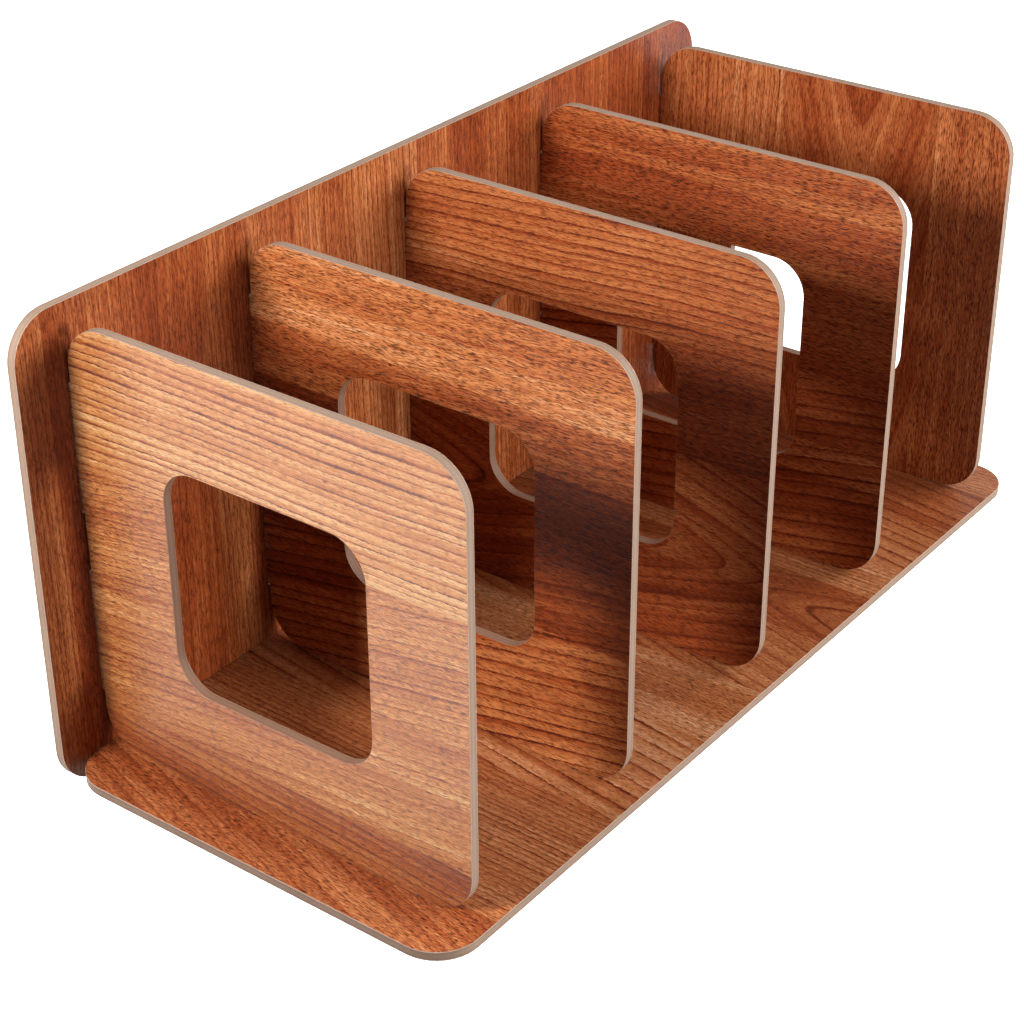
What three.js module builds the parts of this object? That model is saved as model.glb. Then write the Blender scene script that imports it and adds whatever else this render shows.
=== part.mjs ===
// Desktop file sorter: a knock-down rack of seven flat boards that slot together.
// Five window-cut dividers stand on a base board and tab into a back panel.
// Units are millimetres. +X runs along the rack, +Y to the back panel, +Z up.
// The origin is on the table, under the middle of the rack's outline.
import * as THREE from 'three';

// Boards
const BOARD = 4.4;              // thickness of every board
const CORNER_RADIUS = 20;       // outer corners of every board
const FIT_GAP = 0.3;            // clearance between boards that touch
const SHADOW_GAP = 0.8;         // narrow gap behind each divider's rear edge

// Dividers
const DIVIDER_COUNT = 5;
const DIVIDER_PITCH = 105;      // centre to centre
const DIVIDER_DEPTH = 200;      // back panel's front face to the divider's front edge
const DIVIDER_HEIGHT = 202;     // above the base board's upper face
const WINDOW_SIZE = 104;        // square window in the middle of each divider
const WINDOW_RADIUS = 17;

// Borders of the base board and the back panel
const END_OVERHANG = 26;        // beyond the outer faces of the end dividers
const BORDER = 7.5;             // above, below and in front of the dividers

// Tabs and slots
const TAB_LENGTH = 57;          // each of the two tabs on a divider's rear and bottom edge
const TAB_SPREAD = 87;          // centre to centre of those two tabs
const BASE_TAB_LENGTH = 45;     // each of the two tabs on the base board's rear edge
const TAB_TIP_RADIUS = 1.5;
const TAB_INSET = 0.2;          // a rear tab ends just inside the back panel's rear face
const SLOT_END_PLAY = 1.5;      // room at each end of a tab in its slot
const SLOT_RADIUS = 1;

// Curve resolution
const BIG_RADIUS = 5;           // arcs above this radius get the finer division
const FINE_STEPS = 12;
const COARSE_STEPS = 3;

// Worked-out sizes
const LENGTH = (DIVIDER_COUNT - 1) * DIVIDER_PITCH + BOARD + 2 * END_OVERHANG;
const BASE_DEPTH = DIVIDER_DEPTH + BORDER;
const BACK_HEIGHT = DIVIDER_HEIGHT + BOARD + 2 * BORDER;
const REAR_Y = (BASE_DEPTH + BOARD) / 2;
const BACK_FACE_Y = REAR_Y - BOARD;
const FRONT_Y = BACK_FACE_Y - BASE_DEPTH;
const BASE_BOTTOM_Z = BORDER;
const BASE_TOP_Z = BASE_BOTTOM_Z + BOARD;
const SLOT_WIDTH = BOARD + 2 * FIT_GAP;
const TAB_REACH = BOARD - TAB_INSET;
const REAR_TAB_CENTRES = pairAbout(DIVIDER_HEIGHT / 2, TAB_SPREAD);
const BOTTOM_TAB_CENTRES = pairAbout(DIVIDER_DEPTH / 2, TAB_SPREAD);
const BASE_TAB_CENTRES = pairAbout(0, 2 * DIVIDER_PITCH);
const DIVIDER_XS = Array.from(
  { length: DIVIDER_COUNT },
  (_, i) => (i - (DIVIDER_COUNT - 1) / 2) * DIVIDER_PITCH,
);

function pairAbout(middle, spread) {
  return [middle - spread / 2, middle + spread / 2];
}

// The points of one rounded corner: the arc that touches both of its sides.
function cornerPoints(before, corner, after) {
  const { at, radius } = corner;
  if (radius === 0) {
    return [at.clone()];
  }
  const toBefore = before.at.clone().sub(at).normalize();
  const toAfter = after.at.clone().sub(at).normalize();
  const halfAngle = Math.acos(toBefore.dot(toAfter)) / 2;
  const bisector = toBefore.clone().add(toAfter).normalize();
  const centre = at.clone().addScaledVector(bisector, radius / Math.sin(halfAngle));
  const tangentLength = radius / Math.tan(halfAngle);
  const start = at.clone().addScaledVector(toBefore, tangentLength).sub(centre);
  const end = at.clone().addScaledVector(toAfter, tangentLength).sub(centre);
  const clockwise = toBefore.cross(toAfter) > 0;
  const arc = new THREE.EllipseCurve(
    centre.x, centre.y, radius, radius, start.angle(), end.angle(), clockwise,
  );
  return arc.getPoints(radius > BIG_RADIUS ? FINE_STEPS : COARSE_STEPS);
}

// A closed outline through corners, each with its own radius.
function roundedOutline(corners) {
  return corners.flatMap((corner, i) => {
    const before = corners[(i + corners.length - 1) % corners.length];
    const after = corners[(i + 1) % corners.length];
    return cornerPoints(before, corner, after);
  });
}

function corner(x, y, radius = 0) {
  return { at: new THREE.Vector2(x, y), radius };
}

function roundedRectangle(centreX, centreY, width, height, radius) {
  const x = width / 2;
  const y = height / 2;
  return roundedOutline([
    corner(centreX - x, centreY - y, radius),
    corner(centreX + x, centreY - y, radius),
    corner(centreX + x, centreY + y, radius),
    corner(centreX - x, centreY + y, radius),
  ]);
}

// The four corners of each tab on one edge. place(along, out) turns a distance along the edge
// and a distance out of the board into a corner.
function tabCorners(centres, length, root, tip, place) {
  return centres.flatMap((centre) => [
    place(centre - length / 2, root, 0),
    place(centre - length / 2, tip, TAB_TIP_RADIUS),
    place(centre + length / 2, tip, TAB_TIP_RADIUS),
    place(centre + length / 2, root, 0),
  ]);
}

// A board cut from flat stock: an outline with holes, one board thick.
function board(name, outline, holes, material) {
  const shape = new THREE.Shape(outline);
  shape.holes = holes.map((hole) => new THREE.Path(hole));
  const geometry = new THREE.ExtrudeGeometry(shape, { depth: BOARD, bevelEnabled: false });
  const mesh = new THREE.Mesh(geometry, material);
  mesh.name = name;
  return mesh;
}

function filmedBoard(color) {
  return new THREE.MeshStandardMaterial({ color, roughness: 0.45, metalness: 0 });
}

// Divider: drawn with x = distance in front of the back panel, y = height above the base board.
function divider(name, centreX) {
  const rearEdge = -SHADOW_GAP;
  const bottomEdge = -FIT_GAP;
  const onBottom = (along, out, radius) => corner(along, -out, radius);
  const onRear = (along, out, radius) => corner(-out, along, radius);
  const outline = roundedOutline([
    corner(-rearEdge, -bottomEdge, CORNER_RADIUS),
    ...tabCorners(BOTTOM_TAB_CENTRES, TAB_LENGTH, bottomEdge, BASE_TOP_Z, onBottom),
    corner(DIVIDER_DEPTH, -bottomEdge, CORNER_RADIUS),
    corner(DIVIDER_DEPTH, DIVIDER_HEIGHT, CORNER_RADIUS),
    corner(-rearEdge, DIVIDER_HEIGHT, CORNER_RADIUS),
    ...tabCorners(REAR_TAB_CENTRES, TAB_LENGTH, rearEdge, TAB_REACH, onRear).reverse(),
  ]);
  const opening = roundedRectangle(
    DIVIDER_DEPTH / 2, DIVIDER_HEIGHT / 2, WINDOW_SIZE, WINDOW_SIZE, WINDOW_RADIUS,
  );
  const mesh = board(name, outline, [opening], filmedBoard(0xb8713f));
  const forward = new THREE.Vector3(0, -1, 0);
  const up = new THREE.Vector3(0, 0, 1);
  const thickness = new THREE.Vector3(-1, 0, 0);
  mesh.setRotationFromMatrix(new THREE.Matrix4().makeBasis(forward, up, thickness));
  mesh.position.set(centreX + BOARD / 2, BACK_FACE_Y, BASE_TOP_Z);
  return mesh;
}

// Base board: drawn in plan, with two rear tabs and a pair of slots under each divider.
function basePanel() {
  const rearEdge = BACK_FACE_Y - FIT_GAP;
  const onRear = (along, out, radius) => corner(along, out, radius);
  const outline = roundedOutline([
    corner(-LENGTH / 2, FRONT_Y, CORNER_RADIUS),
    corner(LENGTH / 2, FRONT_Y, CORNER_RADIUS),
    corner(LENGTH / 2, rearEdge, CORNER_RADIUS),
    ...tabCorners(
      BASE_TAB_CENTRES, BASE_TAB_LENGTH, rearEdge, BACK_FACE_Y + TAB_REACH, onRear,
    ).reverse(),
    corner(-LENGTH / 2, rearEdge, CORNER_RADIUS),
  ]);
  const slotLength = TAB_LENGTH + 2 * SLOT_END_PLAY;
  const slots = DIVIDER_XS.flatMap((x) => BOTTOM_TAB_CENTRES.map((centre) => (
    roundedRectangle(x, BACK_FACE_Y - centre, SLOT_WIDTH, slotLength, SLOT_RADIUS)
  )));
  const mesh = board('base_panel', outline, slots, filmedBoard(0xa9602f));
  mesh.position.z = BASE_BOTTOM_Z;
  return mesh;
}

// Back panel: drawn seen from the front, with a pair of upright slots for each divider and
// two level slots for the base board's tabs.
function backPanel() {
  const outline = roundedRectangle(0, BACK_HEIGHT / 2, LENGTH, BACK_HEIGHT, CORNER_RADIUS);
  const slotLength = TAB_LENGTH + 2 * SLOT_END_PLAY;
  const dividerSlots = DIVIDER_XS.flatMap((x) => REAR_TAB_CENTRES.map((centre) => (
    roundedRectangle(x, BASE_TOP_Z + centre, SLOT_WIDTH, slotLength, SLOT_RADIUS)
  )));
  const baseSlotLength = BASE_TAB_LENGTH + 2 * SLOT_END_PLAY;
  const baseMiddleZ = BASE_BOTTOM_Z + BOARD / 2;
  const baseSlots = BASE_TAB_CENTRES.map((x) => (
    roundedRectangle(x, baseMiddleZ, baseSlotLength, SLOT_WIDTH, SLOT_RADIUS)
  ));
  const mesh = board('back_panel', outline, [...dividerSlots, ...baseSlots], filmedBoard(0x96552b));
  const along = new THREE.Vector3(1, 0, 0);
  const up = new THREE.Vector3(0, 0, 1);
  const thickness = new THREE.Vector3(0, -1, 0);
  mesh.setRotationFromMatrix(new THREE.Matrix4().makeBasis(along, up, thickness));
  mesh.position.y = REAR_Y;
  return mesh;
}

const group = new THREE.Group();
group.add(basePanel());
group.add(backPanel());
DIVIDER_XS.forEach((x, i) => group.add(divider(`divider_${i + 1}`, x)));

export default group;
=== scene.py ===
"""Looks for the desktop file sorter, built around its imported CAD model.

Every board is laminated stock: a fibreboard core with a printed wood film on each face. Each one is
rebuilt here as three pieces, the core and its two film sheets, cut to the outline that the board has in
the CAD model.
"""

import math
from collections import namedtuple

import bmesh
import bpy
from mathutils import Matrix, Vector


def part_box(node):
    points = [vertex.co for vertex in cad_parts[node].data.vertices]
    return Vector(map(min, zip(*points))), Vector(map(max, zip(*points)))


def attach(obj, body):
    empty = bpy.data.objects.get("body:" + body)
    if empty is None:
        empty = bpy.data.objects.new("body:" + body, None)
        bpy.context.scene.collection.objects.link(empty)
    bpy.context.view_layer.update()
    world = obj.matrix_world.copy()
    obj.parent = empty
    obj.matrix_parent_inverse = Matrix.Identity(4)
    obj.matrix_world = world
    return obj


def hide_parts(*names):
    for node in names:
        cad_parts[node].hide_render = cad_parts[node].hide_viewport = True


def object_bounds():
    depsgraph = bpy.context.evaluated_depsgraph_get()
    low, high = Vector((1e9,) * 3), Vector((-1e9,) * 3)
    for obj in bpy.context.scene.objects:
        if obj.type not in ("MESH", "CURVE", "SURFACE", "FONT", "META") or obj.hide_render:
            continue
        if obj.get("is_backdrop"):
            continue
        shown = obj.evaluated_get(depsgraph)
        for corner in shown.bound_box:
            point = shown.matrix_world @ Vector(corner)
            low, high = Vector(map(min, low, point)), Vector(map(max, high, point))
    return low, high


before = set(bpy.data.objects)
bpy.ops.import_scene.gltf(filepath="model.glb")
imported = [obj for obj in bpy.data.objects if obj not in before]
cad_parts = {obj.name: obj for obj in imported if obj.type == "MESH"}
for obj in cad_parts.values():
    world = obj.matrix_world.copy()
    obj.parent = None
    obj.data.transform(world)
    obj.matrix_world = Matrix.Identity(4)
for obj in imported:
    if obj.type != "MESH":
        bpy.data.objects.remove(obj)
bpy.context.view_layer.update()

MM = 0.001
BODY = "root"

# ---------------------------------------------------------------- board stock, in metres
FILM = 0.42 * MM  # thickness of a film sheet
ARRIS = 0.14 * MM  # easing of the film's outer edge
CORE_RECESS = 0.05 * MM  # the core sits this far inside the film's edge
CORE_GAP = 0.01 * MM  # air between core and film, so that no two faces coincide
ARRIS_STEPS = 3
SMOOTH_ANGLE = math.radians(30)

# ---------------------------------------------------------------- reading the CAD boards
WELD = 1e-6  # CAD vertices closer than this are one
FLAT_NORMAL = 0.99  # a board's flat face turns at least this much to the thickness axis
LEVEL_TOLERANCE = 1e-5  # and lies this close to the end of its box, in metres

# ---------------------------------------------------------------- camera
# Azimuth, elevation, roll, distance, aim and lens come from a least-squares fit to the board edges.
CAMERA_AZIMUTH = math.radians(-52.86)
CAMERA_ELEVATION = math.radians(29.995)
CAMERA_ROLL = math.radians(0.25)
CAMERA_DISTANCE = 1.03374
CAMERA_AIM = Vector((-0.03638, 0.01464, -0.03492))  # from the middle of the CAD box
CAMERA_LENS = 80.09
CAMERA_SENSOR = 36.0
CAMERA_CLIP = (0.05, 50.0)


def in_plane_axes(axis):
    """The two axes that follow a thickness axis in right-handed order."""
    return (axis + 1) % 3, (axis + 2) % 3


def board_outline(node, axis):
    """The closed outlines of a board's flat face, as lists of 2-D points with the material on their left."""
    across, up = in_plane_axes(axis)
    mesh = bmesh.new()
    mesh.from_mesh(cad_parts[node].data)
    bmesh.ops.remove_doubles(mesh, verts=mesh.verts, dist=WELD)
    mesh.normal_update()
    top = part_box(node)[1][axis]
    flat = set()
    for face in mesh.faces:
        if face.normal[axis] > FLAT_NORMAL and abs(face.calc_center_median()[axis] - top) < LEVEL_TOLERANCE:
            flat.add(face)
    following = {}
    for face in flat:
        for loop in face.loops:
            others = [f for f in loop.edge.link_faces if f in flat and f is not face]
            if not others:
                following[loop.vert] = loop.link_loop_next.vert
    outlines = []
    while following:
        start = min(following, key=lambda v: (v.co[across], v.co[up]))
        points = []
        vert = start
        while vert in following:
            points.append(Vector((vert.co[across], vert.co[up])))
            vert = following.pop(vert)
        outlines.append(points)
    mesh.free()
    return outlines


def inset_points(points, inset):
    """An outline moved into the material by inset, with mitred corners."""
    count = len(points)
    normals = []
    for i in range(count):
        step = (points[(i + 1) % count] - points[i]).normalized()
        normals.append(Vector((step.y, -step.x)))
    moved = []
    for i in range(count):
        before, after = normals[i - 1], normals[i]
        mitre = (before + after) / (1 + before.dot(after))
        moved.append(points[i] - mitre * inset)
    return moved


def sheet_mesh(name, outlines, axis, rings, cap_slots):
    """A flat sheet of the outlines' shape.

    Each ring is (inset, place on the thickness axis, material of the side that follows it), from the low
    face to the high face. The side of a window, which is any outline after the first, takes the next
    material. cap_slots are the two faces' materials."""
    across, up = in_plane_axes(axis)
    mesh = bmesh.new()
    caps = ([], [])
    for order, points in enumerate(outlines):
        window = min(order, 1)
        loops = []
        for inset, level, _ in rings:
            loop = []
            for point in inset_points(points, inset):
                place = [0.0, 0.0, 0.0]
                place[axis] = level
                place[across] = point.x
                place[up] = point.y
                loop.append(mesh.verts.new(place))
            loops.append(loop)
        count = len(points)
        for ring in range(len(rings) - 1):
            low, high = loops[ring], loops[ring + 1]
            for i in range(count):
                j = (i + 1) % count
                side = mesh.faces.new((low[i], low[j], high[j], high[i]))
                side.material_index = rings[ring][2] + window
                side.smooth = True
        caps[0].append(loops[0])
        caps[1].append(loops[-1])
    for cap, loops in enumerate(caps):
        edges = []
        for loop in loops:
            for i in range(len(loop)):
                edges.append(mesh.edges.get((loop[i], loop[(i + 1) % len(loop)])))
        filled = bmesh.ops.triangle_fill(mesh, edges=edges, use_beauty=True)
        for item in filled["geom"]:
            if isinstance(item, bmesh.types.BMFace):
                item.material_index = cap_slots[cap]
                item.smooth = False
                item.normal_update()
                if (item.normal[axis] > 0) != (cap == 1):
                    item.normal_flip()
    for edge in mesh.edges:
        if len(edge.link_faces) == 2:
            angle = edge.calc_face_angle(0.0)
            edge.smooth = angle < SMOOTH_ANGLE
    data = bpy.data.meshes.new(name)
    mesh.to_mesh(data)
    mesh.free()
    piece = bpy.data.objects.new(name, data)
    bpy.context.scene.collection.objects.link(piece)
    return piece


# ---------------------------------------------------------------- materials


class Nodes:
    """Short calls for building one material's node tree."""

    def __init__(self, name):
        self.material = bpy.data.materials.new(name)
        self.material.use_nodes = True
        self.tree = self.material.node_tree
        self.shader = self.tree.nodes["Principled BSDF"]

    def put(self, socket, value):
        if isinstance(value, bpy.types.NodeSocket):
            self.tree.links.new(value, socket)
        else:
            socket.default_value = value

    def node(self, kind, **inputs):
        made = self.tree.nodes.new(kind)
        for key, value in inputs.items():
            self.put(made.inputs[key.replace("_", " ")], value)
        return made

    def math(self, operation, first, second=None, third=None, clamp=False):
        made = self.tree.nodes.new("ShaderNodeMath")
        made.operation = operation
        made.use_clamp = clamp
        for index, value in enumerate((first, second, third)):
            if value is not None:
                self.put(made.inputs[index], value)
        return made.outputs[0]

    def add(self, first, second):
        return self.math("ADD", first, second)

    def scale(self, value, factor):
        return self.math("MULTIPLY", value, factor)

    def spread(self, value, amount):
        """A 0..1 value turned into one that swings by amount about zero."""
        return self.math("MULTIPLY_ADD", value, amount, -amount / 2)

    def position(self):
        """Place in the row frame, in millimetres, as three sockets."""
        coordinates = self.tree.nodes.new("ShaderNodeTexCoord")
        scaled = self.tree.nodes.new("ShaderNodeVectorMath")
        scaled.operation = "SCALE"
        self.put(scaled.inputs[0], coordinates.outputs["Object"])
        scaled.inputs["Scale"].default_value = 1 / MM
        split = self.node("ShaderNodeSeparateXYZ", Vector=scaled.outputs[0])
        return split.outputs

    def noise(self, x, y, z=0.0, size=1.0, detail=2.0, roughness=0.5):
        """Noise of 0..1 whose blobs are about size across in the units of x and y."""
        vector = self.node("ShaderNodeCombineXYZ", X=x, Y=y, Z=z)
        made = self.node("ShaderNodeTexNoise", Vector=vector.outputs[0], Detail=detail)
        made.inputs["Scale"].default_value = 1 / size
        made.inputs["Roughness"].default_value = roughness
        return made.outputs["Factor" if "Factor" in made.outputs else "Fac"]

    def noise_1d(self, w, size, detail=1.0):
        made = self.tree.nodes.new("ShaderNodeTexNoise")
        made.noise_dimensions = "1D"
        self.put(made.inputs["W"], w)
        made.inputs["Scale"].default_value = 1 / size
        made.inputs["Detail"].default_value = detail
        return made.outputs["Factor" if "Factor" in made.outputs else "Fac"]

    def ramp(self, value, stops, interpolation="LINEAR"):
        """A colour ramp; stops are (place, (r, g, b)) or (place, grey)."""
        made = self.node("ShaderNodeValToRGB", Fac=value)
        made.color_ramp.interpolation = interpolation
        elements = made.color_ramp.elements
        while len(elements) > 1:
            elements.remove(elements[-1])
        for index, (place, colour) in enumerate(stops):
            element = elements[0] if index == 0 else elements.new(place)
            element.position = place
            rgb = colour if isinstance(colour, tuple) else (colour,) * 3
            element.color = (*rgb, 1.0)
        return made.outputs["Color"]

    def bump(self, height, distance, strength=1.0):
        made = self.node("ShaderNodeBump", Height=height)
        made.inputs["Distance"].default_value = distance
        made.inputs["Strength"].default_value = strength
        self.tree.links.new(made.outputs["Normal"], self.shader.inputs["Normal"])


# colours of the print, from its darkest tone to its lightest
WOOD_TONES = (
    (0.00, (0.018, 0.0026, 0.0006)),
    (0.25, (0.088, 0.0128, 0.0025)),
    (0.50, (0.214, 0.0465, 0.0100)),
    (0.75, (0.352, 0.1270, 0.0370)),
    (1.00, (0.500, 0.2900, 0.1350)),
)

# ranges that carry a strip's values through a colour ramp
CENTRE_RANGE = 800.0  # a strip's ring centre lies within half of this of its board's middle, in mm
SLANT_RANGE = 1.0  # a strip's rings climb by at most half of this along the grain
SPACING_RANGE = 10.0  # growth lines are closer than this, in mm

# growth lines
RING_ROUNDING = 60.0  # rounds the tips of the arches, in square mm
UNEVEN_SIZE = 9.0  # the rings are wider here and narrower there: over this distance, by this much, in mm
UNEVEN_SWING = 5.0
UNEVEN_SEED = 17.0  # keeps the rings of different boards apart
LINE_REACH = 1.25  # how far the shade of a line reaches, in mm, and how that grows with the spacing
LINE_GROWTH = 0.34
LINE_PROFILE = ((0.0, 0.0), (0.06, 0.9), (0.14, 1.0), (0.22, 0.8), (0.32, 0.18), (0.8, 0.0))
LINE_WEAKEST = 0.5  # strength of the weakest line beside the strongest
LINE_SEED = 3.7  # keeps the lines' strengths on different boards apart
LINE_FADE = ((0.36, 0.35), (0.54, 1.0))  # lines fade and come back along the grain
LINE_BREAKS = ((0.36, 0.40), (0.52, 1.0))  # and are broken up by the fibres
LINE_STRENGTH = 1.65
LINE_TONE = 0.20  # tone of a full line
LATEWOOD_SHADE = 0.12  # how much the print darkens towards a line
LATEWOOD_MEAN = 0.33

# the fine strokes and the coarser dimples pressed into the film, both dark on a lighter ground: their change
# of tone is print, their change of brightness is painted shade of the pressed relief
STROKE_RAMP = ((0.33, 0.0), (0.55, 1.0))
DIMPLE_RAMP = ((0.35, 0.0), (0.55, 1.0))
STROKE_MEAN = 0.68  # taken as the mean of both
STROKE_TONE = 0.15  # how much they change the tone, and the brightness
STROKE_SHADE = 0.95
DIMPLE_TONE = 0.05
DIMPLE_SHADE = 0.10
STROKE_FLOOR = 0.5  # share of the strokes that a strip without ripple keeps

# roughness of the film: its ground, and what dimples and lines add
FILM_ROUGHNESS = 0.27
DIMPLE_ROUGHNESS = 0.10
LINE_ROUGHNESS = 0.12
FILM_IOR = 1.5

# relief of the film: its depth, and the shares of dimples (1), fibres, strokes and lines in it
FILM_RELIEF = 0.11 * MM
FIBRE_RELIEF = 0.8
STROKE_RELIEF = 0.5
LINE_RELIEF = 0.6


# A field of noise in the print. Its blobs are length long along the grain and width across it, in mm,
# times size. swing is how far it moves the grain, in mm, or the tone. offset keeps the fields apart.
Field = namedtuple("Field", "length width swing offset detail roughness size")
BEND = Field(120, 60, 6.0, 0, 1, 0.5, 1.0)
WAVE = Field(22, 14, 1.2, 3, 2, 0.5, 1.0)
JITTER = Field(2.4, 1.4, 0.22, 5, 2, 0.7, 1.0)  # its swing is a share of the spacing
JITTER_BASE = 2.0  # added to the spacing, in mm
FADE = Field(34, 7, 0, 9, 2, 0.5, 1.0)
FIBRE = Field(8.0, 0.8, 0.30, 13, 2, 0.6, 1.0)
BANDS = Field(260, 18, 0.50, 17, 2, 0.5, 1.0)
STREAKS = Field(70, 3.0, 0.42, 19, 3, 0.5, 1.0)
SWAY = Field(6.5, 5.0, 1.5, 29, 1, 0.5, 1.0)
DIMPLES = Field(5.0, 0.72, 0, 23, 2, 0.6, 1.0)
STROKES = Field(8.5, 1.0, 0, 31, 1, 0.7, 0.41)


class Strip:
    """One strip of the printed veneer: where it starts across the grain, and how it is figured.

    tone: 0 dark to 1 light. lines: strength of the dark growth lines. spacing: their distance, in mm.
    centre: where the rings are centred across the grain, in mm. slant: how fast they run off along it.
    ripple: strength of the short wavy fleck."""

    def __init__(self, start, tone, lines, spacing, centre, slant, ripple=0.6):
        self.start = start
        self.tone = tone
        self.lines = lines
        self.spacing = spacing
        self.centre = centre
        self.slant = slant
        self.ripple = ripple


def strips(*steps, **figure):
    """Strips of one figure; steps are their (start, tone)."""
    return tuple(Strip(start, tone, **figure) for start, tone in steps)


def tinted(stops, tint):
    """Colour stops multiplied by a tint."""
    return tuple((stop, tuple(part * share for part, share in zip(colour, tint))) for stop, colour in stops)


class Print:
    """The printed film of one face, as a material. low and high bound the board across the grain, in mm."""

    def __init__(self, name, along_axis, across_axis, low, high, face_strips, seed, gloss, tint):
        self.net = Nodes(name)
        self.seed = seed
        place = self.net.position()
        self.along = place[along_axis]
        self.across = place[across_axis]
        self.read_strips(low, high, face_strips)
        self.bend_grain()
        self.draw_lines()
        self.press_strokes()
        self.colour(tint)
        self.finish(gloss)
        self.material = self.net.material

    def field(self, field, across):
        """A field of noise, stretched along the grain."""
        return self.net.noise(
            self.net.scale(self.along, 1 / field.length),
            self.net.scale(across, 1 / field.width),
            self.seed + field.offset,
            size=field.size,
            detail=field.detail,
            roughness=field.roughness,
        )

    def read_strips(self, low, high, face_strips):
        """The values of the strip that each point lies in."""
        net = self.net
        shape_stops = []
        look_stops = []
        for strip in face_strips:
            stop = max(0.0, (strip.start - low) / (high - low))
            centre = strip.centre / CENTRE_RANGE + 0.5
            slant = strip.slant / SLANT_RANGE + 0.5
            shape_stops.append((stop, (centre, slant, strip.spacing / SPACING_RANGE)))
            look_stops.append((stop, (strip.tone, strip.lines, strip.ripple)))
        share = net.math("DIVIDE", net.math("SUBTRACT", self.across, low), high - low)
        shape = net.node("ShaderNodeSeparateColor", Color=net.ramp(share, shape_stops, "CONSTANT")).outputs
        look = net.node("ShaderNodeSeparateColor", Color=net.ramp(share, look_stops, "CONSTANT")).outputs
        self.centre = net.scale(net.math("SUBTRACT", shape[0], 0.5), CENTRE_RANGE)
        self.slant = net.scale(net.math("SUBTRACT", shape[1], 0.5), SLANT_RANGE)
        self.spacing = net.scale(shape[2], SPACING_RANGE)
        self.tone, self.lines, self.ripple = look[0], look[1], look[2]

    def bend_grain(self):
        """The place across the grain once the grain wanders: a slow bend, a wave and a fine jitter."""
        net = self.net
        bend = net.spread(self.field(BEND, self.across), BEND.swing)
        wave = net.spread(self.field(WAVE, self.across), WAVE.swing)
        jitter = net.spread(self.field(JITTER, self.across), JITTER.swing)
        jitter = net.math("MULTIPLY", jitter, net.add(self.spacing, JITTER_BASE))
        self.bent = net.add(self.across, net.add(bend, net.add(wave, jitter)))

    def draw_lines(self):
        """Growth rings: hyperbolas about the strip's centre, arches near it and lines far from it."""
        net = self.net
        offset = net.math("SUBTRACT", self.bent, self.centre)
        radius = net.math("SQRT", net.math("MULTIPLY_ADD", offset, offset, RING_ROUNDING))
        ring = net.math("SUBTRACT", radius, net.math("MULTIPLY", self.along, self.slant))
        widths = net.noise_1d(net.add(ring, self.seed * UNEVEN_SEED), UNEVEN_SIZE, 2.0)
        self.ring = net.add(ring, net.spread(widths, UNEVEN_SWING))
        phase = net.math("DIVIDE", self.ring, self.spacing)
        self.latewood = net.math("POWER", net.math("FRACT", phase), 2.0)
        depth = net.math("MULTIPLY", net.math("SUBTRACT", 1.0, net.math("FRACT", phase)), self.spacing)
        reach = net.math("MULTIPLY_ADD", self.spacing, LINE_GROWTH, LINE_REACH)
        line = net.ramp(net.math("DIVIDE", depth, reach), LINE_PROFILE)

        each = net.tree.nodes.new("ShaderNodeTexWhiteNoise")
        each.noise_dimensions = "1D"
        net.put(each.inputs["W"], net.add(net.math("FLOOR", phase), self.seed * LINE_SEED))
        strength = net.math("MULTIPLY_ADD", each.outputs["Value"], 1 - LINE_WEAKEST, LINE_WEAKEST)
        fade = net.ramp(self.field(FADE, ring), LINE_FADE)
        self.fibre = self.field(FIBRE, self.bent)
        breaks = net.ramp(self.fibre, LINE_BREAKS)
        line = net.math("MULTIPLY", line, strength)
        line = net.math("MULTIPLY", line, net.math("MULTIPLY", fade, breaks))
        self.line = net.math("MULTIPLY", line, net.scale(self.lines, LINE_STRENGTH), clamp=True)

    def press_strokes(self):
        """The fine strokes and the coarser dimples, which both sway a little."""
        net = self.net
        swayed = net.add(self.across, net.spread(self.field(SWAY, self.across), SWAY.swing))
        self.dimples = net.ramp(self.field(DIMPLES, swayed), DIMPLE_RAMP)
        self.strokes = net.ramp(self.field(STROKES, swayed), STROKE_RAMP)

    def colour(self, tint):
        """Bands, streaks, fibres, strokes and lines about the strip's tone."""
        net = self.net
        kept = net.math("MULTIPLY_ADD", self.ripple, 1 - STROKE_FLOOR, STROKE_FLOOR)
        strokes = net.math("MULTIPLY", net.math("SUBTRACT", self.strokes, STROKE_MEAN), kept)
        dimples = net.math("MULTIPLY", net.math("SUBTRACT", self.dimples, STROKE_MEAN), self.ripple)
        tone = net.add(self.tone, net.spread(self.field(BANDS, self.ring), BANDS.swing))
        tone = net.add(tone, net.spread(self.field(STREAKS, self.ring), STREAKS.swing))
        tone = net.add(tone, net.spread(self.fibre, FIBRE.swing))
        tone = net.math("MULTIPLY_ADD", strokes, STROKE_TONE, tone)
        tone = net.math("MULTIPLY_ADD", dimples, DIMPLE_TONE, tone)
        latewood = net.math("SUBTRACT", self.latewood, LATEWOOD_MEAN)
        latewood = net.math("MULTIPLY", latewood, net.scale(self.lines, LATEWOOD_SHADE))
        tone = net.math("SUBTRACT", tone, latewood)
        tone = net.math("MULTIPLY_ADD", self.line, net.math("SUBTRACT", LINE_TONE, tone), tone)
        # painted shade of the pressed strokes and dimples
        shade = net.math("MULTIPLY_ADD", strokes, STROKE_SHADE, 1.0)
        shade = net.math("MULTIPLY_ADD", dimples, DIMPLE_SHADE, shade)
        shaded = net.tree.nodes.new("ShaderNodeVectorMath")
        shaded.operation = "SCALE"
        net.put(shaded.inputs[0], net.ramp(tone, tinted(WOOD_TONES, tint)))
        net.put(shaded.inputs["Scale"], shade)
        net.put(net.shader.inputs["Base Color"], shaded.outputs[0])

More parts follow.
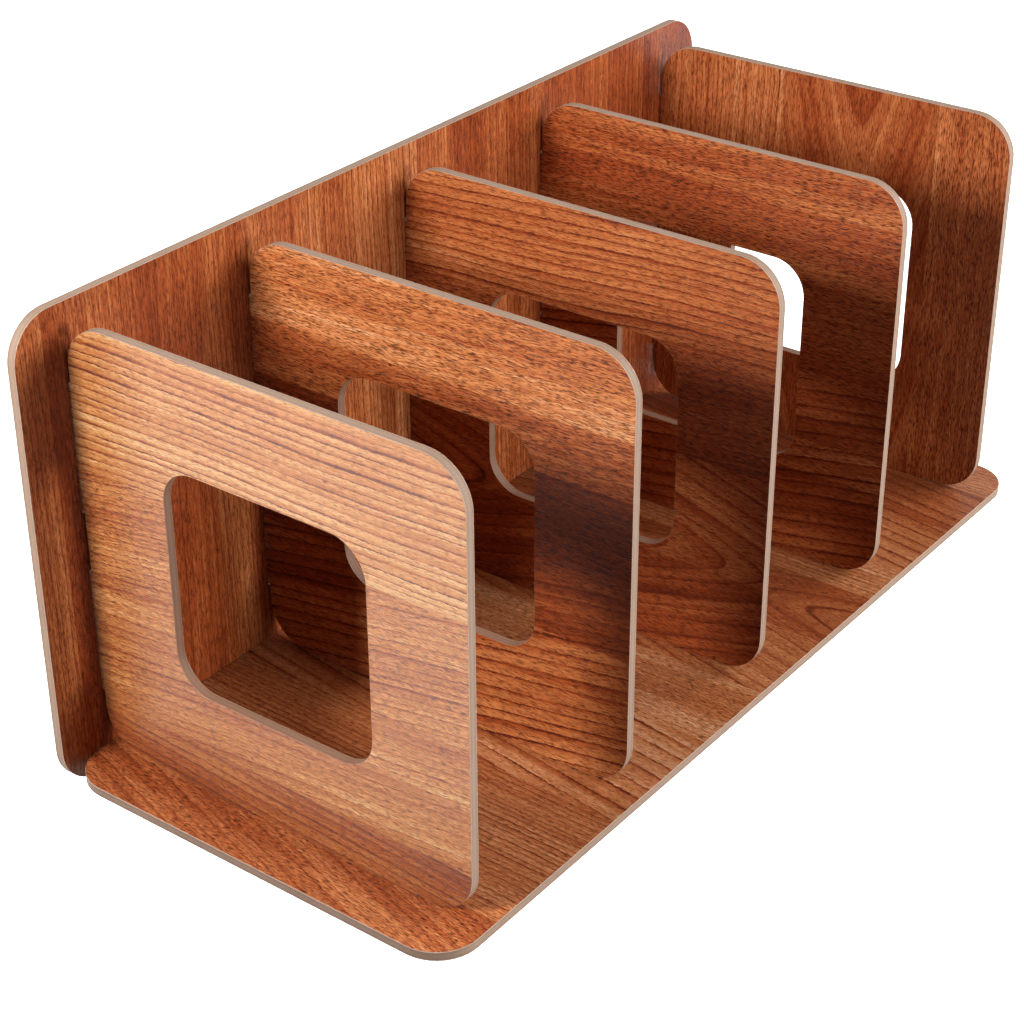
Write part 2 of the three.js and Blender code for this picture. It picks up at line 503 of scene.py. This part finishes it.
    def finish(self, gloss):
        """Roughness, gloss and relief."""
        net = self.net
        rough = net.math("MULTIPLY_ADD", self.dimples, DIMPLE_ROUGHNESS, FILM_ROUGHNESS)
        net.put(net.shader.inputs["Roughness"], net.math("MULTIPLY_ADD", self.line, LINE_ROUGHNESS, rough))
        net.shader.inputs["IOR"].default_value = FILM_IOR
        net.shader.inputs["Specular IOR Level"].default_value = gloss
        raised = net.add(net.math("MULTIPLY", self.dimples, self.ripple), net.scale(self.fibre, FIBRE_RELIEF))
        raised = net.add(raised, net.scale(self.strokes, STROKE_RELIEF))
        net.bump(net.math("SUBTRACT", raised, net.scale(self.line, LINE_RELIEF)), FILM_RELIEF, 1.0)


# cut edge of the film
FILM_EDGE_GRAIN = 2.2  # size of its cloudy grain, in mm
FILM_EDGE_TONES = ((0.3, (0.24, 0.145, 0.095)), (0.7, (0.32, 0.205, 0.145)))
CHIP_SIZE = 0.9
CHIP_RAMP = ((0.66, 0.0), (0.72, 1.0))
CHIP_COLOUR = (0.50, 0.38, 0.30)
CHIP_RELIEF = 0.03 * MM
FILM_EDGE_ROUGHNESS = 0.42  # its ground, and what the grain adds
FILM_EDGE_GRAIN_ROUGHNESS = 0.15

# sawn edge of the fibreboard
FIBRE_SIZE = 0.5  # sizes of its fibres, patches and pressed layers, in mm
PATCH_SIZE = 9.0
LAYER_SIZE = 0.35
CORE_TONE = 0.62  # tone in the middle of the board, and how it drops for each mm towards the faces
CORE_DENSITY = -0.10
CORE_TONES = ((0.0, (0.092, 0.050, 0.031)), (0.5, (0.200, 0.124, 0.080)), (1.0, (0.330, 0.225, 0.155)))
FIBRE_TONE = 0.50  # how much the fibres, patches and layers change the tone
PATCH_TONE = 0.16
LAYER_TONE = 0.07
LAYER_WAVER = 0.3  # how far the fibres move the layers, in mm
CORE_ROUGHNESS = 0.62  # its ground, and what the fibres add
CORE_FIBRE_ROUGHNESS = 0.2
CORE_RELIEF = 0.05 * MM

# The base's left edge is darker, a painted shade: beyond this place along X, in mm, over this distance, by
# this much tone.
LEFT_SHADE_FROM = -226.0
LEFT_SHADE_FADE = 8.0
LEFT_SHADE_DEPTH = 0.38


def film_edge_material(name, tint):
    """The cut edge of the film: paler than its face, with small chips that show the paper under the print."""
    net = Nodes(name)
    x, y, z = net.position()[:3]
    grain = net.noise(x, net.add(y, z), z, size=FILM_EDGE_GRAIN, detail=3)
    chips = net.noise(x, y, z, size=CHIP_SIZE, detail=2, roughness=0.6)
    mixed = net.node("ShaderNodeMix")
    mixed.data_type = "RGBA"
    net.put(mixed.inputs["Factor"], net.ramp(chips, CHIP_RAMP))
    net.put(mixed.inputs["A"], net.ramp(grain, tinted(FILM_EDGE_TONES, tint)))
    mixed.inputs["B"].default_value = (*(part * share for part, share in zip(CHIP_COLOUR, tint)), 1.0)
    net.put(net.shader.inputs["Base Color"], mixed.outputs["Result"])
    rough = net.math("MULTIPLY_ADD", grain, FILM_EDGE_GRAIN_ROUGHNESS, FILM_EDGE_ROUGHNESS)
    net.put(net.shader.inputs["Roughness"], rough)
    net.bump(chips, CHIP_RELIEF, 0.5)
    return net.material


def core_material(name, axis, middle, tint, shaded_left_end):
    """The sawn edge of the fibreboard: beige, denser and browner towards its faces, with fine fibres."""
    net = Nodes(name)
    place = net.position()
    x, y, z = place[:3]
    depth = net.math("ABSOLUTE", net.math("SUBTRACT", place[axis], middle))
    fibres = net.noise(x, y, z, size=FIBRE_SIZE, detail=3, roughness=0.65)
    patches = net.noise(x, y, z, size=PATCH_SIZE, detail=2)
    layers = net.noise_1d(net.math("MULTIPLY_ADD", fibres, LAYER_WAVER, depth), LAYER_SIZE, 1.0)
    tone = net.math("MULTIPLY_ADD", depth, CORE_DENSITY, CORE_TONE)
    for part, swing in ((fibres, FIBRE_TONE), (patches, PATCH_TONE), (layers, LAYER_TONE)):
        tone = net.add(tone, net.spread(part, swing))
    # painted shade at the base's left end
    if shaded_left_end:
        share = net.math("MULTIPLY_ADD", x, -1 / LEFT_SHADE_FADE, LEFT_SHADE_FROM / LEFT_SHADE_FADE, clamp=True)
        tone = net.math("SUBTRACT", tone, net.scale(share, LEFT_SHADE_DEPTH))
    net.put(net.shader.inputs["Base Color"], net.ramp(tone, tinted(CORE_TONES, tint)))
    rough = net.math("MULTIPLY_ADD", fibres, CORE_FIBRE_ROUGHNESS, CORE_ROUGHNESS)
    net.put(net.shader.inputs["Roughness"], rough)
    net.bump(fibres, CORE_RELIEF, 0.6)
    return net.material


# ---------------------------------------------------------------- boards

X, Y, Z = 0, 1, 2
LOW, HIGH = 0, 1

# The veneer strips of every printed face, from the low end across the grain to the high end. On the faces
# that the photo shows, starts and tones follow its mean brightness in bands 12 or 14 mm wide. The dark strips
# of divider_2, from 76 to 150, are darker than their print, a painted shade that stands in for part of a cast
# shadow; divider_3's strip from 112 to 163 is a little darker for the same painted shade.
DIVIDER_PRINTS_AND_SHADE = {
    "divider_1": (
        (
            *strips((0, 0.51), lines=0.75, spacing=4.6, centre=-20, slant=0.06, ripple=0.5),
            *strips(
                (34, 0.68), (54, 0.58), (66, 0.68),
                lines=0.45, spacing=4.0, centre=-160, slant=-0.08, ripple=0.7,
            ),
            *strips((92, 0.66), (120, 0.63), lines=0.60, spacing=3.4, centre=-190, slant=-0.15, ripple=0.9),
            *strips(
                (148.5, 0.80), (192, 0.75),
                lines=0.85, spacing=3.8, centre=320, slant=0.012, ripple=0.10,
            ),
        ),
        (
            *strips((0, 0.58), lines=0.5, spacing=3.6, centre=300, slant=0.04),
            *strips((84, 0.52), lines=0.7, spacing=6.0, centre=118, slant=0.22),
            *strips((160, 0.62), lines=0.4, spacing=3.0, centre=-280, slant=0.02),
        ),
    ),
    "divider_2": (
        (
            *strips((0, 0.64), (50, 0.54), lines=1.0, spacing=6.4, centre=-120, slant=-0.17, ripple=0.5),
            *strips((76, 0.37), lines=0.7, spacing=6.4, centre=-120, slant=-0.17, ripple=0.5),
            *strips((104, 0.34), (150, 0.57), lines=0.25, spacing=4.0, centre=300, slant=0.05, ripple=1.0),
            *strips((176, 0.70), lines=0.18, spacing=5.0, centre=300, slant=0.05, ripple=1.0),
        ),
        (
            *strips((0, 0.50), lines=0.75, spacing=7.0, centre=60, slant=0.25),
            *strips((120, 0.60), lines=0.4, spacing=3.2, centre=320, slant=0.03),
        ),
    ),
    "divider_3": (
        (
            *strips(
                (0, 0.45), (40, 0.49), (58, 0.62), (84, 0.60),
                lines=0.60, spacing=7.0, centre=66, slant=0.27, ripple=0.5,
            ),
            *strips((112, 0.52), lines=0.30, spacing=3.4, centre=-220, slant=-0.08, ripple=1.0),
            *strips((163, 0.64), lines=0.85, spacing=4.2, centre=-200, slant=-0.05, ripple=0.5),
        ),
        (
            *strips((0, 0.60), lines=0.45, spacing=3.4, centre=-260, slant=0.04),
            *strips((70, 0.54), lines=0.65, spacing=5.6, centre=140, slant=-0.2),
        ),
    ),
    "divider_4": (
        (
            *strips(
                (0, 0.53), (58, 0.74), (76, 0.56),
                lines=0.95, spacing=7.0, centre=-160, slant=-0.16, ripple=0.5,
            ),
            *strips((108, 0.58), lines=0.25, spacing=4.0, centre=300, slant=0.05, ripple=1.0),
            *strips((166, 0.48), (192, 0.58), lines=0.22, spacing=4.5, centre=300, slant=0.04, ripple=1.0),
        ),
        (
            *strips((0, 0.52), lines=0.5, spacing=4.4, centre=280, slant=0.05),
            *strips((96, 0.60), lines=0.7, spacing=3.2, centre=-260, slant=0.02),
        ),
    ),
    "divider_5": (
        (
            *strips((-110, 0.63), lines=0.22, spacing=3.0, centre=300, slant=0.03, ripple=1.0),
            *strips((-60, 0.57), lines=0.26, spacing=6.5, centre=-18, slant=0.24, ripple=0.4),
            *strips(
                (26, 0.71), (48, 0.66), (86, 0.60),
                lines=0.45, spacing=3.4, centre=300, slant=0.03, ripple=0.5,
            ),
        ),
        (
            *strips((-110, 0.62), lines=0.55, spacing=3.4, centre=-280, slant=0.03),
            *strips((-30, 0.56), lines=0.70, spacing=6.0, centre=20, slant=0.22),
            *strips((62, 0.60), lines=0.35, spacing=3.0, centre=300, slant=0.04),
        ),
    ),
}
# On the base's top face, the lighter strip from -102 and the darker strips from 40 and 166 are partly print
# and partly painted light and cast shadow of the dividers.
BASE_PRINTS_AND_SHADE = (
    (
        *strips((-240, 0.55), lines=0.5, spacing=3.6, centre=300, slant=0.04),
        *strips((-150, 0.50), lines=0.7, spacing=6.0, centre=-110, slant=0.22),
        *strips((-60, 0.57), lines=0.4, spacing=3.0, centre=-300, slant=0.03),
        *strips((40, 0.52), lines=0.6, spacing=5.0, centre=90, slant=-0.2),
        *strips((140, 0.56), lines=0.5, spacing=3.4, centre=300, slant=0.04),
    ),
    (
        *strips((-240, 0.58), (-226, 0.50), lines=0.35, spacing=5.0, centre=-400, slant=0.30, ripple=1.0),
        *strips((-208, 0.68), lines=0.60, spacing=2.8, centre=-400, slant=0.02, ripple=0.6),
        *strips((-128, 0.66), (-102, 0.74), lines=0.90, spacing=8.6, centre=-300, slant=0.14, ripple=0.4),
        *strips((-58, 0.73), lines=0.30, spacing=3.4, centre=300, slant=0.02, ripple=1.0),
        *strips((-12, 0.65), (40, 0.55), lines=0.55, spacing=7.0, centre=62, slant=-0.26, ripple=0.6),
        *strips((86, 0.71), lines=0.45, spacing=3.0, centre=300, slant=0.02, ripple=0.7),
        *strips((118, 0.64), (166, 0.50), lines=0.75, spacing=8.2, centre=-100, slant=0.14, ripple=0.4),
        *strips((208, 0.66), lines=0.40, spacing=3.0, centre=300, slant=0.02, ripple=0.7),
    ),
)
BACK_PRINTS = (
    (
        *strips((-240, 0.68), (-225, 0.48), lines=0.45, spacing=2.8, centre=400, slant=0.01, ripple=0.4),
        *strips((-200, 0.57), (-172, 0.48), lines=0.40, spacing=3.2, centre=-400, slant=0.01, ripple=0.35),
        *strips((-137, 0.61), lines=0.55, spacing=3.0, centre=400, slant=0.01, ripple=0.25),
        *strips((-114, 0.55), (-92, 0.61), lines=0.40, spacing=2.8, centre=-400, slant=0.01, ripple=0.35),
        *strips((-46, 0.66), (-14, 0.76), lines=0.60, spacing=3.2, centre=400, slant=0.01, ripple=0.25),
        *strips((6, 0.57), lines=0.45, spacing=2.6, centre=-400, slant=0.01, ripple=0.35),
        *strips((28, 0.48), (66, 0.54), lines=0.45, spacing=3.0, centre=400, slant=0.01, ripple=0.4),
        *strips((98, 0.50), lines=0.40, spacing=2.8, centre=-400, slant=0.01, ripple=0.35),
        *strips((146, 0.51), lines=0.50, spacing=3.0, centre=400, slant=0.01, ripple=0.3),
        *strips((190, 0.41), lines=0.40, spacing=2.8, centre=-400, slant=0.01, ripple=0.4),
    ),
    (
        *strips((-240, 0.56), lines=0.5, spacing=3.4, centre=-400, slant=0.02),
        *strips((-160, 0.50), lines=0.7, spacing=6.2, centre=-104, slant=0.22),
        *strips((-44, 0.58), lines=0.5, spacing=3.0, centre=400, slant=0.02),
        *strips((30, 0.54), lines=0.6, spacing=5.4, centre=88, slant=-0.22),
        *strips((142, 0.58), lines=0.45, spacing=3.0, centre=-400, slant=0.02),
    ),
)

GLOSS = 0.14  # specular level of the film
DIVIDER_1_GLOSS = 0.50  # and on divider_1, which has a broad sheen
FACE_SLOT, EDGE_SLOT = 0, 1
FILM_NAMES = ("_film_low", "_film_high")
SIDE_SEED = 41  # keeps the prints of a board's two sides apart

# Correction of each board's print: about the photo's mean colour over the render's, as a comparison script
# printed it. It takes up errors of the lamps too, so it isn't the film's own colour.
BOARD_TINTS = {
    "base_panel": (1.0, 0.99, 1.18),
    "back_panel": (1.03, 0.96, 1.04),
    "divider_1": (0.97, 1.03, 1.02),
    "divider_2": (1.03, 0.97, 1.03),
    "divider_3": (1.05, 0.94, 0.98),
    "divider_4": (1.07, 0.92, 0.89),
    "divider_5": (1.06, 0.94, 1.0),
}

# Tints of the fibreboard along the outer edges and along the windows. The windows' darker, browner tint is
# painted shade and painted warm bounce light.
SAWN_TINT = (1.0, 1.0, 1.0)
WINDOW_SHADE_TINT = (0.74, 0.58, 0.50)


def arris_rings(outer, inward):
    """Rings of a film sheet from its inner face to its outer face, with the outer edge eased."""
    rings = [(0.0, outer + inward * FILM, EDGE_SLOT)]
    for step in range(ARRIS_STEPS + 1):
        turn = math.pi / 2 * step / ARRIS_STEPS
        inset = ARRIS * (1 - math.cos(turn))
        level = outer + inward * ARRIS * (1 - math.sin(turn))
        rings.append((inset, level, EDGE_SLOT))
    return rings


def build_core(node, axis, outlines):
    """Makes one board's fibreboard, which takes the CAD node's place."""
    low, high = (corner[axis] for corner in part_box(node))
    rings = [(CORE_RECESS, low + FILM + CORE_GAP, 0), (CORE_RECESS, high - FILM - CORE_GAP, 0)]
    core = sheet_mesh(node + "_core", outlines, axis, rings, (0, 0))
    middle = (low + high) / 2 / MM
    # the base's left end gets a painted shade
    shaded_left_end = node == "base_panel"
    sawn = core_material(node + "_fibreboard", axis, middle, SAWN_TINT, shaded_left_end)
    core.data.materials.append(sawn)
    if len(outlines) > 1:
        # the window walls get a painted shade
        window_shaded = core_material(node + "_window_fibreboard", axis, middle, WINDOW_SHADE_TINT, False)
        core.data.materials.append(window_shaded)
    return core


def build_film(node, axis, outlines, side, printed):
    """Makes the film sheet on one side of a board."""
    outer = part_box(node)[side][axis]
    rings = arris_rings(outer, (1, -1)[side])
    caps = (EDGE_SLOT, FACE_SLOT)
    if side == LOW:
        rings = rings[::-1]
        caps = caps[::-1]
    film = sheet_mesh(node + FILM_NAMES[side], outlines, axis, rings, caps)
    film.data.materials.append(printed)
    film.data.materials.append(FILM_EDGE)
    if len(outlines) > 1:
        film.data.materials.append(FILM_WINDOW_EDGE)
    return film


def build_board(node, axis, along_axis, across_axis, prints_and_shade, seed):
    """Makes one board's core and its two film sheets."""
    outlines = board_outline(node, axis)
    core = build_core(node, axis, outlines)
    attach(core, BODY)
    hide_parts(node)

    across_low, across_high = (corner[across_axis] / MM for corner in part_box(node))
    gloss = DIVIDER_1_GLOSS if node == "divider_1" else GLOSS
    for side in (LOW, HIGH):
        printed = Print(
            node + FILM_NAMES[side] + "_print",
            along_axis,
            across_axis,
            across_low,
            across_high,
            prints_and_shade[side],
            seed + SIDE_SEED * side,
            gloss,
            BOARD_TINTS[node],
        )
        film = build_film(node, axis, outlines, side, printed.material)
        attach(film, BODY)


# ---------------------------------------------------------------- camera, floor and light

STAGE_RADIUS = 6.0
FLOOR_LEVEL = -0.02 * MM  # just under the boards
FLOOR_GLOW = 0.95
TENT_GLOW = 1.0
WORLD_STRENGTH = 0.03
STAGE_WHITE = (0.9, 0.9, 0.9, 1)
STAGE_ROUGHNESS = 0.8

# name, place, aim, width, height, watts. The watts started from a least-squares fit to the photo. The key,
# top and rear lamps were changed since.
LAMPS = (
    ("key", (-0.95, 0.22, 0.61), (0.0, 0.0, 0.12), 0.28, 0.28, 16.5),
    ("front", (0.06, -1.60, 0.40), (0.0, 0.0, 0.10), 0.3, 0.3, 22.0),
    ("right_front", (1.10, -1.10, 0.80), (0.0, 0.0, 0.12), 1.2, 1.0, 38.0),
    ("top", (0.0, 0.0, 1.50), (0.0, 0.0, 0.0), 1.8, 1.8, 7.0),
    ("rear", (-0.30, 1.30, 0.50), (0.0, 0.0, 0.12), 0.8, 0.6, 13.0),
)


def build_camera():
    low, high = (Vector(corner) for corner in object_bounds())
    aim = (low + high) / 2 + CAMERA_AIM
    level = math.cos(CAMERA_ELEVATION)
    back = Vector(
        (level * math.sin(CAMERA_AZIMUTH), -level * math.cos(CAMERA_AZIMUTH), math.sin(CAMERA_ELEVATION))
    )
    right = Vector((0, 0, 1)).cross(back).normalized()
    up = back.cross(right)
    rolled_right = right * math.cos(CAMERA_ROLL) - up * math.sin(CAMERA_ROLL)
    rolled_up = up * math.cos(CAMERA_ROLL) + right * math.sin(CAMERA_ROLL)
    data = bpy.data.cameras.new("camera")
    data.lens = CAMERA_LENS
    data.sensor_width = CAMERA_SENSOR
    data.clip_start, data.clip_end = CAMERA_CLIP
    camera = bpy.data.objects.new("camera", data)
    bpy.context.scene.collection.objects.link(camera)
    turn = Matrix((rolled_right, rolled_up, back)).transposed()
    camera.matrix_world = Matrix.Translation(aim + back * CAMERA_DISTANCE) @ turn.to_4x4()
    bpy.context.scene.camera = camera


def area_light(name, place, aim, width, height, watts):
    data = bpy.data.lights.new(name, "AREA")
    data.shape = "RECTANGLE"
    data.size = width
    data.size_y = height
    data.energy = watts
    light = bpy.data.objects.new(name, data)
    light.location = place
    light.rotation_euler = (Vector(aim) - Vector(place)).to_track_quat("-Z", "Y").to_euler()
    bpy.context.scene.collection.objects.link(light)


def stage_sheet(name, mesh, glow):
    """A plain white sheet of the studio.

    It is seen, and it mirrors in the film, but it doesn't light the boards: the lamps and the even light of
    the world do that."""
    data = bpy.data.meshes.new(name)
    mesh.to_mesh(data)
    mesh.free()
    sheet = bpy.data.objects.new(name, data)
    bpy.context.scene.collection.objects.link(sheet)
    sheet.visible_diffuse = False
    sheet.visible_shadow = False
    net = Nodes(name + "_white")
    net.shader.inputs["Base Color"].default_value = STAGE_WHITE
    net.shader.inputs["Roughness"].default_value = STAGE_ROUGHNESS
    net.shader.inputs["Specular IOR Level"].default_value = 0.0
    net.shader.inputs["Emission Color"].default_value = (1, 1, 1, 1)
    net.shader.inputs["Emission Strength"].default_value = glow
    sheet.data.materials.append(net.material)
    sheet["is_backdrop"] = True


def build_stage():
    """A pale floor inside a plain white tent."""
    mesh = bmesh.new()
    half = STAGE_RADIUS
    outline = ((-half, -half), (half, -half), (half, half), (-half, half))
    mesh.faces.new([mesh.verts.new((x, y, FLOOR_LEVEL)) for x, y in outline])
    stage_sheet("floor", mesh, FLOOR_GLOW)
    mesh = bmesh.new()
    bmesh.ops.create_icosphere(mesh, subdivisions=4, radius=STAGE_RADIUS)
    bmesh.ops.reverse_faces(mesh, faces=mesh.faces)
    stage_sheet("tent", mesh, TENT_GLOW)

    world = bpy.data.worlds.new("studio")
    world.use_nodes = True
    background = world.node_tree.nodes["Background"]
    background.inputs["Color"].default_value = (1, 1, 1, 1)
    background.inputs["Strength"].default_value = WORLD_STRENGTH
    bpy.context.scene.world = world

    for lamp in LAMPS:
        area_light(*lamp)


FILM_EDGE = film_edge_material("film_edge", SAWN_TINT)
# the film edges along the windows get the same painted shade
FILM_WINDOW_EDGE = film_edge_material("film_window_edge", WINDOW_SHADE_TINT)
build_camera()
build_board("base_panel", Z, Y, X, BASE_PRINTS_AND_SHADE, 1.0)
build_board("back_panel", Y, Z, X, BACK_PRINTS, 2.0)
for order, (node, prints_and_shade) in enumerate(DIVIDER_PRINTS_AND_SHADE.items()):
    upright = node == "divider_5"
    along_axis, across_axis = (Z, Y) if upright else (Y, Z)
    build_board(node, X, along_axis, across_axis, prints_and_shade, 3.0 + order)
build_stage()
bpy.context.scene.view_settings.view_transform = "Standard"
